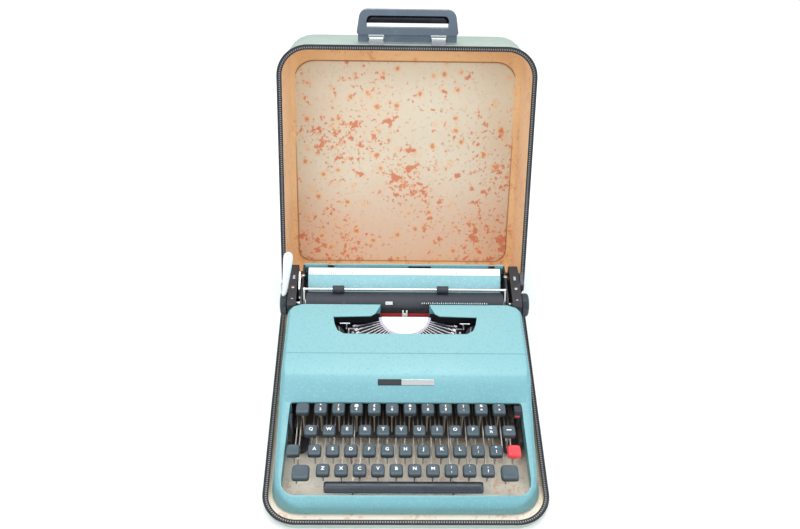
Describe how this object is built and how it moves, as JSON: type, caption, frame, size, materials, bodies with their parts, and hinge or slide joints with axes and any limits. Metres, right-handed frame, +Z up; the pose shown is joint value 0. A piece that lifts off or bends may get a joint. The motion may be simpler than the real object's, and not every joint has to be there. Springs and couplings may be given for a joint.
{
  "type": "portable typewriter in case",
  "caption": "Low portable typewriter with moving carriage, platen, return lever and keyboard, seated in its open hinged carrying case with handle",
  "frame": {"origin": "on the floor under the middle of the case tray", "axes": "+X to the typist's right, +Y to the machine's rear, +Z up"},
  "size_m": [0.306, 0.4906, 0.365],
  "materials": {
    "case_vinyl": "grained vinyl over board",
    "handle_plastic": "polished moulding",
    "black_metal": "satin black enamel",
    "teal_paint": "fine textured enamel",
    "brown_plate": "matt lacquer",
    "steel": "plated steel",
    "bright_chrome": "bright plating",
    "dark_rubber": "matt ground rubber",
    "black_plastic": "satin moulding",
    "key_plastic": "satin moulding",
    "red_plastic": "polished moulding"
  },
  "bodies": {
    "case": {"case_tray": "case_vinyl"},
    "lid": {"case_lid": "case_vinyl"},
    "handle": {"carry_handle": "handle_plastic"},
    "machine": {"frame": "black_metal", "body_shell": "teal_paint", "rear_cover": "teal_paint", "lever_comb": "brown_plate"},
    "cover": {"ribbon_cover": "teal_paint"},
    "segment": {"type_basket": "steel"},
    "guide": {"ribbon_guide": "steel"},
    "spool_left": {"ribbon_spool_left": "steel"},
    "spool_right": {"ribbon_spool_right": "steel"},
    "carriage": {"carriage_frame": "black_metal", "paper_table": "teal_paint"},
    "roller": {"platen": "dark_rubber", "platen_knob_left": "black_plastic", "platen_knob_right": "black_plastic"},
    "bail": {"paper_bail": "steel"},
    "stop_left": {"margin_stop_left": "steel"},
    "stop_right": {"margin_stop_right": "steel"},
    "spacer": {"line_space_arm": "steel"},
    "lever": {"return_lever": "bright_chrome"},
    "paper_release": {"paper_release_lever": "steel"},
    "carriage_release": {"carriage_release_lever": "black_plastic"},
    "selector": {"ribbon_selector": "black_plastic"},
    "tab_set": {"tab_lever": "black_plastic"},
    "space": {"space_bar": "black_plastic"},
    "shift": {"shift_keys": "key_plastic"},
    "shift_lock": {"shift_lock_key": "key_plastic"},
    "tabulator": {"tabulator_key": "red_plastic"},
    "margin_release": {"margin_release_key": "key_plastic"},
    "backspace": {"backspace_key": "key_plastic"},
    "figures": {"figure_keys": "key_plastic"},
    "symbols": {"symbol_keys": "key_plastic"},
    "letter_q": {"key_q": "key_plastic"},
    "letter_w": {"key_w": "key_plastic"},
    "letter_e": {"key_e": "key_plastic"},
    "letter_r": {"key_r": "key_plastic"},
    "letter_t": {"key_t": "key_plastic"},
    "letter_y": {"key_y": "key_plastic"},
    "letter_u": {"key_u": "key_plastic"},
    "letter_i": {"key_i": "key_plastic"},
    "letter_o": {"key_o": "key_plastic"},
    "letter_p": {"key_p": "key_plastic"},
    "letter_a": {"key_a": "key_plastic"},
    "letter_s": {"key_s": "key_plastic"},
    "letter_d": {"key_d": "key_plastic"},
    "letter_f": {"key_f": "key_plastic"},
    "letter_g": {"key_g": "key_plastic"},
    "letter_h": {"key_h": "key_plastic"},
    "letter_j": {"key_j": "key_plastic"},
    "letter_k": {"key_k": "key_plastic"},
    "letter_l": {"key_l": "key_plastic"},
    "letter_z": {"key_z": "key_plastic"},
    "letter_x": {"key_x": "key_plastic"},
    "letter_c": {"key_c": "key_plastic"},
    "letter_v": {"key_v": "key_plastic"},
    "letter_b": {"key_b": "key_plastic"},
    "letter_n": {"key_n": "key_plastic"},
    "letter_m": {"key_m": "key_plastic"}
  },
  "joints": [
    {"name": "lid_hinge", "type": "hinge", "parent": "case", "child": "lid", "pos_m": [0, 0.161, 0.02225], "axis": [1, 0, 0], "range_deg": [0, 106]},
    {"name": "lift_out", "type": "slide", "parent": "case", "child": "machine", "axis": [0, 0, 1], "range_m": [0, 0.15]},
    {"name": "carriage_travel", "type": "slide", "parent": "machine", "child": "carriage", "axis": [1, 0, 0], "range_m": [-0.11, 0.11]},
    {"name": "cover_lift", "type": "slide", "parent": "machine", "child": "cover", "axis": [0, 0, 1], "range_m": [0, 0.06]},
    {"name": "platen_turn", "type": "hinge", "parent": "carriage", "child": "roller", "pos_m": [0, 0.097, 0.073], "axis": [1, 0, 0], "continuous": true},
    {"name": "bail_swing", "type": "hinge", "parent": "carriage", "child": "bail", "pos_m": [0, 0.086, 0.066], "axis": [1, 0, 0], "range_deg": [0, 34]},
    {"name": "handle_swing", "type": "hinge", "parent": "lid", "child": "handle", "pos_m": [0, 0.26854, 0.33107], "axis": [1, 0, 0], "range_deg": [-80, 80]},
    {"name": "line_space", "type": "hinge", "parent": "carriage", "child": "spacer", "pos_m": [-0.143, 0.101, 0.091], "axis": [0, -1, 0], "range_deg": [-20, 0], "stiffness_Nm_per_rad": 0.05, "springref_deg": 6.88},
    {"name": "lever_fold", "type": "hinge", "parent": "spacer", "child": "lever", "pos_m": [-0.143, 0.093, 0.095], "axis": [-1, 0, 0], "range_deg": [0, 90]},
    {"name": "left_margin", "type": "slide", "parent": "carriage", "child": "stop_left", "axis": [1, 0, 0], "range_m": [-0.024, 0.06]},
    {"name": "right_margin", "type": "slide", "parent": "carriage", "child": "stop_right", "axis": [1, 0, 0], "range_m": [-0.06, 0.007]},
    {"name": "paper_release_pull", "type": "hinge", "parent": "carriage", "child": "paper_release", "pos_m": [-0.1265, 0.107, 0.077], "axis": [1, 0, 0], "range_deg": [0, 20]},
    {"name": "carriage_release_press", "type": "hinge", "parent": "carriage", "child": "carriage_release", "pos_m": [0.142, 0.118, 0.083], "axis": [1, 0, 0], "range_deg": [0, 12]},
    {"name": "left_spool_turn", "type": "hinge", "parent": "machine", "child": "spool_left", "pos_m": [-0.091, 0.043, 0.066], "axis": [0, 0, 1], "continuous": true},
    {"name": "right_spool_turn", "type": "hinge", "parent": "machine", "child": "spool_right", "pos_m": [0.091, 0.043, 0.066], "axis": [0, 0, 1], "continuous": true},
    {"name": "ribbon_colour", "type": "hinge", "parent": "machine", "child": "selector", "pos_m": [0.1214, -0.057, 0.04], "axis": [1, 0, 0], "range_deg": [-10, 10]},
    {"name": "tab_set_swing", "type": "hinge", "parent": "machine", "child": "tab_set", "pos_m": [-0.1226, -0.067, 0.038], "axis": [1, 0, 0], "range_deg": [-10, 10]},
    {"name": "shift_press", "type": "hinge", "parent": "machine", "child": "shift", "pos_m": [0, 0.011, 0.034], "axis": [1, 0, 0], "range_deg": [0, 5.4], "stiffness_Nm_per_rad": 0.8, "springref_deg": -6.88},
    {"name": "segment_drop", "type": "slide", "parent": "machine", "child": "segment", "axis": [0, 0, -1], "range_m": [0, 0.006]},
    {"name": "guide_rise", "type": "slide", "parent": "machine", "child": "guide", "axis": [0, 0, 1], "range_m": [0, 0.006]},
    {"name": "space_press", "type": "hinge", "parent": "machine", "child": "space", "pos_m": [0, 0.011, 0.034], "axis": [1, 0, 0], "range_deg": [0, 3.5], "stiffness_Nm_per_rad": 0.8, "springref_deg": -6.88},
    {"name": "figures_press", "type": "hinge", "parent": "machine", "child": "figures", "pos_m": [0, 0.011, 0.034], "axis": [1, 0, 0], "range_deg": [0, 9.9], "stiffness_Nm_per_rad": 0.8, "springref_deg": -6.88},
    {"name": "symbols_press", "type": "hinge", "parent": "machine", "child": "symbols", "pos_m": [0, 0.011, 0.034], "axis": [1, 0, 0], "range_deg": [0, 5.4], "stiffness_Nm_per_rad": 0.6, "springref_deg": -6.88},
    {"name": "shift_lock_press", "type": "hinge", "parent": "machine", "child": "shift_lock", "pos_m": [0, 0.011, 0.034], "axis": [1, 0, 0], "range_deg": [0, 6.4], "stiffness_Nm_per_rad": 0.3, "springref_deg": -6.88},
    {"name": "tabulator_press", "type": "hinge", "parent": "machine", "child": "tabulator", "pos_m": [0, 0.011, 0.034], "axis": [1, 0, 0], "range_deg": [0, 6.4], "stiffness_Nm_per_rad": 0.3, "springref_deg": -6.88},
    {"name": "margin_release_press", "type": "hinge", "parent": "machine", "child": "margin_release", "pos_m": [0, 0.011, 0.034], "axis": [1, 0, 0], "range_deg": [0, 9.9], "stiffness_Nm_per_rad": 0.3, "springref_deg": -6.88},
    {"name": "backspace_press", "type": "hinge", "parent": "machine", "child": "backspace", "pos_m": [0, 0.011, 0.034], "axis": [1, 0, 0], "range_deg": [0, 7.7], "stiffness_Nm_per_rad": 0.3, "springref_deg": -6.88},
    {"name": "press_q", "type": "hinge", "parent": "machine", "child": "letter_q", "pos_m": [0, 0.011, 0.034], "axis": [1, 0, 0], "range_deg": [0, 7.7], "stiffness_Nm_per_rad": 0.3, "springref_deg": -6.88},
    {"name": "press_w", "type": "hinge", "parent": "machine", "child": "letter_w", "pos_m": [0, 0.011, 0.034], "axis": [1, 0, 0], "range_deg": [0, 7.7], "stiffness_Nm_per_rad": 0.3, "springref_deg": -6.88},
    {"name": "press_e", "type": "hinge", "parent": "machine", "child": "letter_e", "pos_m": [0, 0.011, 0.034], "axis": [1, 0, 0], "range_deg": [0, 7.7], "stiffness_Nm_per_rad": 0.3, "springref_deg": -6.88},
    {"name": "press_r", "type": "hinge", "parent": "machine", "child": "letter_r", "pos_m": [0, 0.011, 0.034], "axis": [1, 0, 0], "range_deg": [0, 7.7], "stiffness_Nm_per_rad": 0.3, "springref_deg": -6.88},
    {"name": "press_t", "type": "hinge", "parent": "machine", "child": "letter_t", "pos_m": [0, 0.011, 0.034], "axis": [1, 0, 0], "range_deg": [0, 7.7], "stiffness_Nm_per_rad": 0.3, "springref_deg": -6.88},
    {"name": "press_y", "type": "hinge", "parent": "machine", "child": "letter_y", "pos_m": [0, 0.011, 0.034], "axis": [1, 0, 0], "range_deg": [0, 7.7], "stiffness_Nm_per_rad": 0.3, "springref_deg": -6.88},
    {"name": "press_u", "type": "hinge", "parent": "machine", "child": "letter_u", "pos_m": [0, 0.011, 0.034], "axis": [1, 0, 0], "range_deg": [0, 7.7], "stiffness_Nm_per_rad": 0.3, "springref_deg": -6.88},
    {"name": "press_i", "type": "hinge", "parent": "machine", "child": "letter_i", "pos_m": [0, 0.011, 0.034], "axis": [1, 0, 0], "range_deg": [0, 7.7], "stiffness_Nm_per_rad": 0.3, "springref_deg": -6.88},
    {"name": "press_o", "type": "hinge", "parent": "machine", "child": "letter_o", "pos_m": [0, 0.011, 0.034], "axis": [1, 0, 0], "range_deg": [0, 7.7], "stiffness_Nm_per_rad": 0.3, "springref_deg": -6.88},
    {"name": "press_p", "type": "hinge", "parent": "machine", "child": "letter_p", "pos_m": [0, 0.011, 0.034], "axis": [1, 0, 0], "range_deg": [0, 7.7], "stiffness_Nm_per_rad": 0.3, "springref_deg": -6.88},
    {"name": "press_a", "type": "hinge", "parent": "machine", "child": "letter_a", "pos_m": [0, 0.011, 0.034], "axis": [1, 0, 0], "range_deg": [0, 6.4], "stiffness_Nm_per_rad": 0.3, "springref_deg": -6.88},
    {"name": "press_s", "type": "hinge", "parent": "machine", "child": "letter_s", "pos_m": [0, 0.011, 0.034], "axis": [1, 0, 0], "range_deg": [0, 6.4], "stiffness_Nm_per_rad": 0.3, "springref_deg": -6.88},
    {"name": "press_d", "type": "hinge", "parent": "machine", "child": "letter_d", "pos_m": [0, 0.011, 0.034], "axis": [1, 0, 0], "range_deg": [0, 6.4], "stiffness_Nm_per_rad": 0.3, "springref_deg": -6.88},
    {"name": "press_f", "type": "hinge", "parent": "machine", "child": "letter_f", "pos_m": [0, 0.011, 0.034], "axis": [1, 0, 0], "range_deg": [0, 6.4], "stiffness_Nm_per_rad": 0.3, "springref_deg": -6.88},
    {"name": "press_g", "type": "hinge", "parent": "machine", "child": "letter_g", "pos_m": [0, 0.011, 0.034], "axis": [1, 0, 0], "range_deg": [0, 6.4], "stiffness_Nm_per_rad": 0.3, "springref_deg": -6.88},
    {"name": "press_h", "type": "hinge", "parent": "machine", "child": "letter_h", "pos_m": [0, 0.011, 0.034], "axis": [1, 0, 0], "range_deg": [0, 6.4], "stiffness_Nm_per_rad": 0.3, "springref_deg": -6.88},
    {"name": "press_j", "type": "hinge", "parent": "machine", "child": "letter_j", "pos_m": [0, 0.011, 0.034], "axis": [1, 0, 0], "range_deg": [0, 6.4], "stiffness_Nm_per_rad": 0.3, "springref_deg": -6.88},
    {"name": "press_k", "type": "hinge", "parent": "machine", "child": "letter_k", "pos_m": [0, 0.011, 0.034], "axis": [1, 0, 0], "range_deg": [0, 6.4], "stiffness_Nm_per_rad": 0.3, "springref_deg": -6.88},
    {"name": "press_l", "type": "hinge", "parent": "machine", "child": "letter_l", "pos_m": [0, 0.011, 0.034], "axis": [1, 0, 0], "range_deg": [0, 6.4], "stiffness_Nm_per_rad": 0.3, "springref_deg": -6.88},
    {"name": "press_z", "type": "hinge", "parent": "machine", "child": "letter_z", "pos_m": [0, 0.011, 0.034], "axis": [1, 0, 0], "range_deg": [0, 5.4], "stiffness_Nm_per_rad": 0.3, "springref_deg": -6.88},
    {"name": "press_x", "type": "hinge", "parent": "machine", "child": "letter_x", "pos_m": [0, 0.011, 0.034], "axis": [1, 0, 0], "range_deg": [0, 5.4], "stiffness_Nm_per_rad": 0.3, "springref_deg": -6.88},
    {"name": "press_c", "type": "hinge", "parent": "machine", "child": "letter_c", "pos_m": [0, 0.011, 0.034], "axis": [1, 0, 0], "range_deg": [0, 5.4], "stiffness_Nm_per_rad": 0.3, "springref_deg": -6.88},
    {"name": "press_v", "type": "hinge", "parent": "machine", "child": "letter_v", "pos_m": [0, 0.011, 0.034], "axis": [1, 0, 0], "range_deg": [0, 5.4], "stiffness_Nm_per_rad": 0.3, "springref_deg": -6.88},
    {"name": "press_b", "type": "hinge", "parent": "machine", "child": "letter_b", "pos_m": [0, 0.011, 0.034], "axis": [1, 0, 0], "range_deg": [0, 5.4], "stiffness_Nm_per_rad": 0.3, "springref_deg": -6.88},
    {"name": "press_n", "type": "hinge", "parent": "machine", "child": "letter_n", "pos_m": [0, 0.011, 0.034], "axis": [1, 0, 0], "range_deg": [0, 5.4], "stiffness_Nm_per_rad": 0.3, "springref_deg": -6.88},
    {"name": "press_m", "type": "hinge", "parent": "machine", "child": "letter_m", "pos_m": [0, 0.011, 0.034], "axis": [1, 0, 0], "range_deg": [0, 5.4], "stiffness_Nm_per_rad": 0.3, "springref_deg": -6.88}
  ],
  "couplings": [
    {"joint": "lever_fold", "follows": "lid_hinge", "ratio": 0.84906},
    {"joint": "right_spool_turn", "follows": "left_spool_turn", "ratio": 1},
    {"joint": "segment_drop", "follows": "shift_press", "m_per_rad": 0.06365}
  ]
}
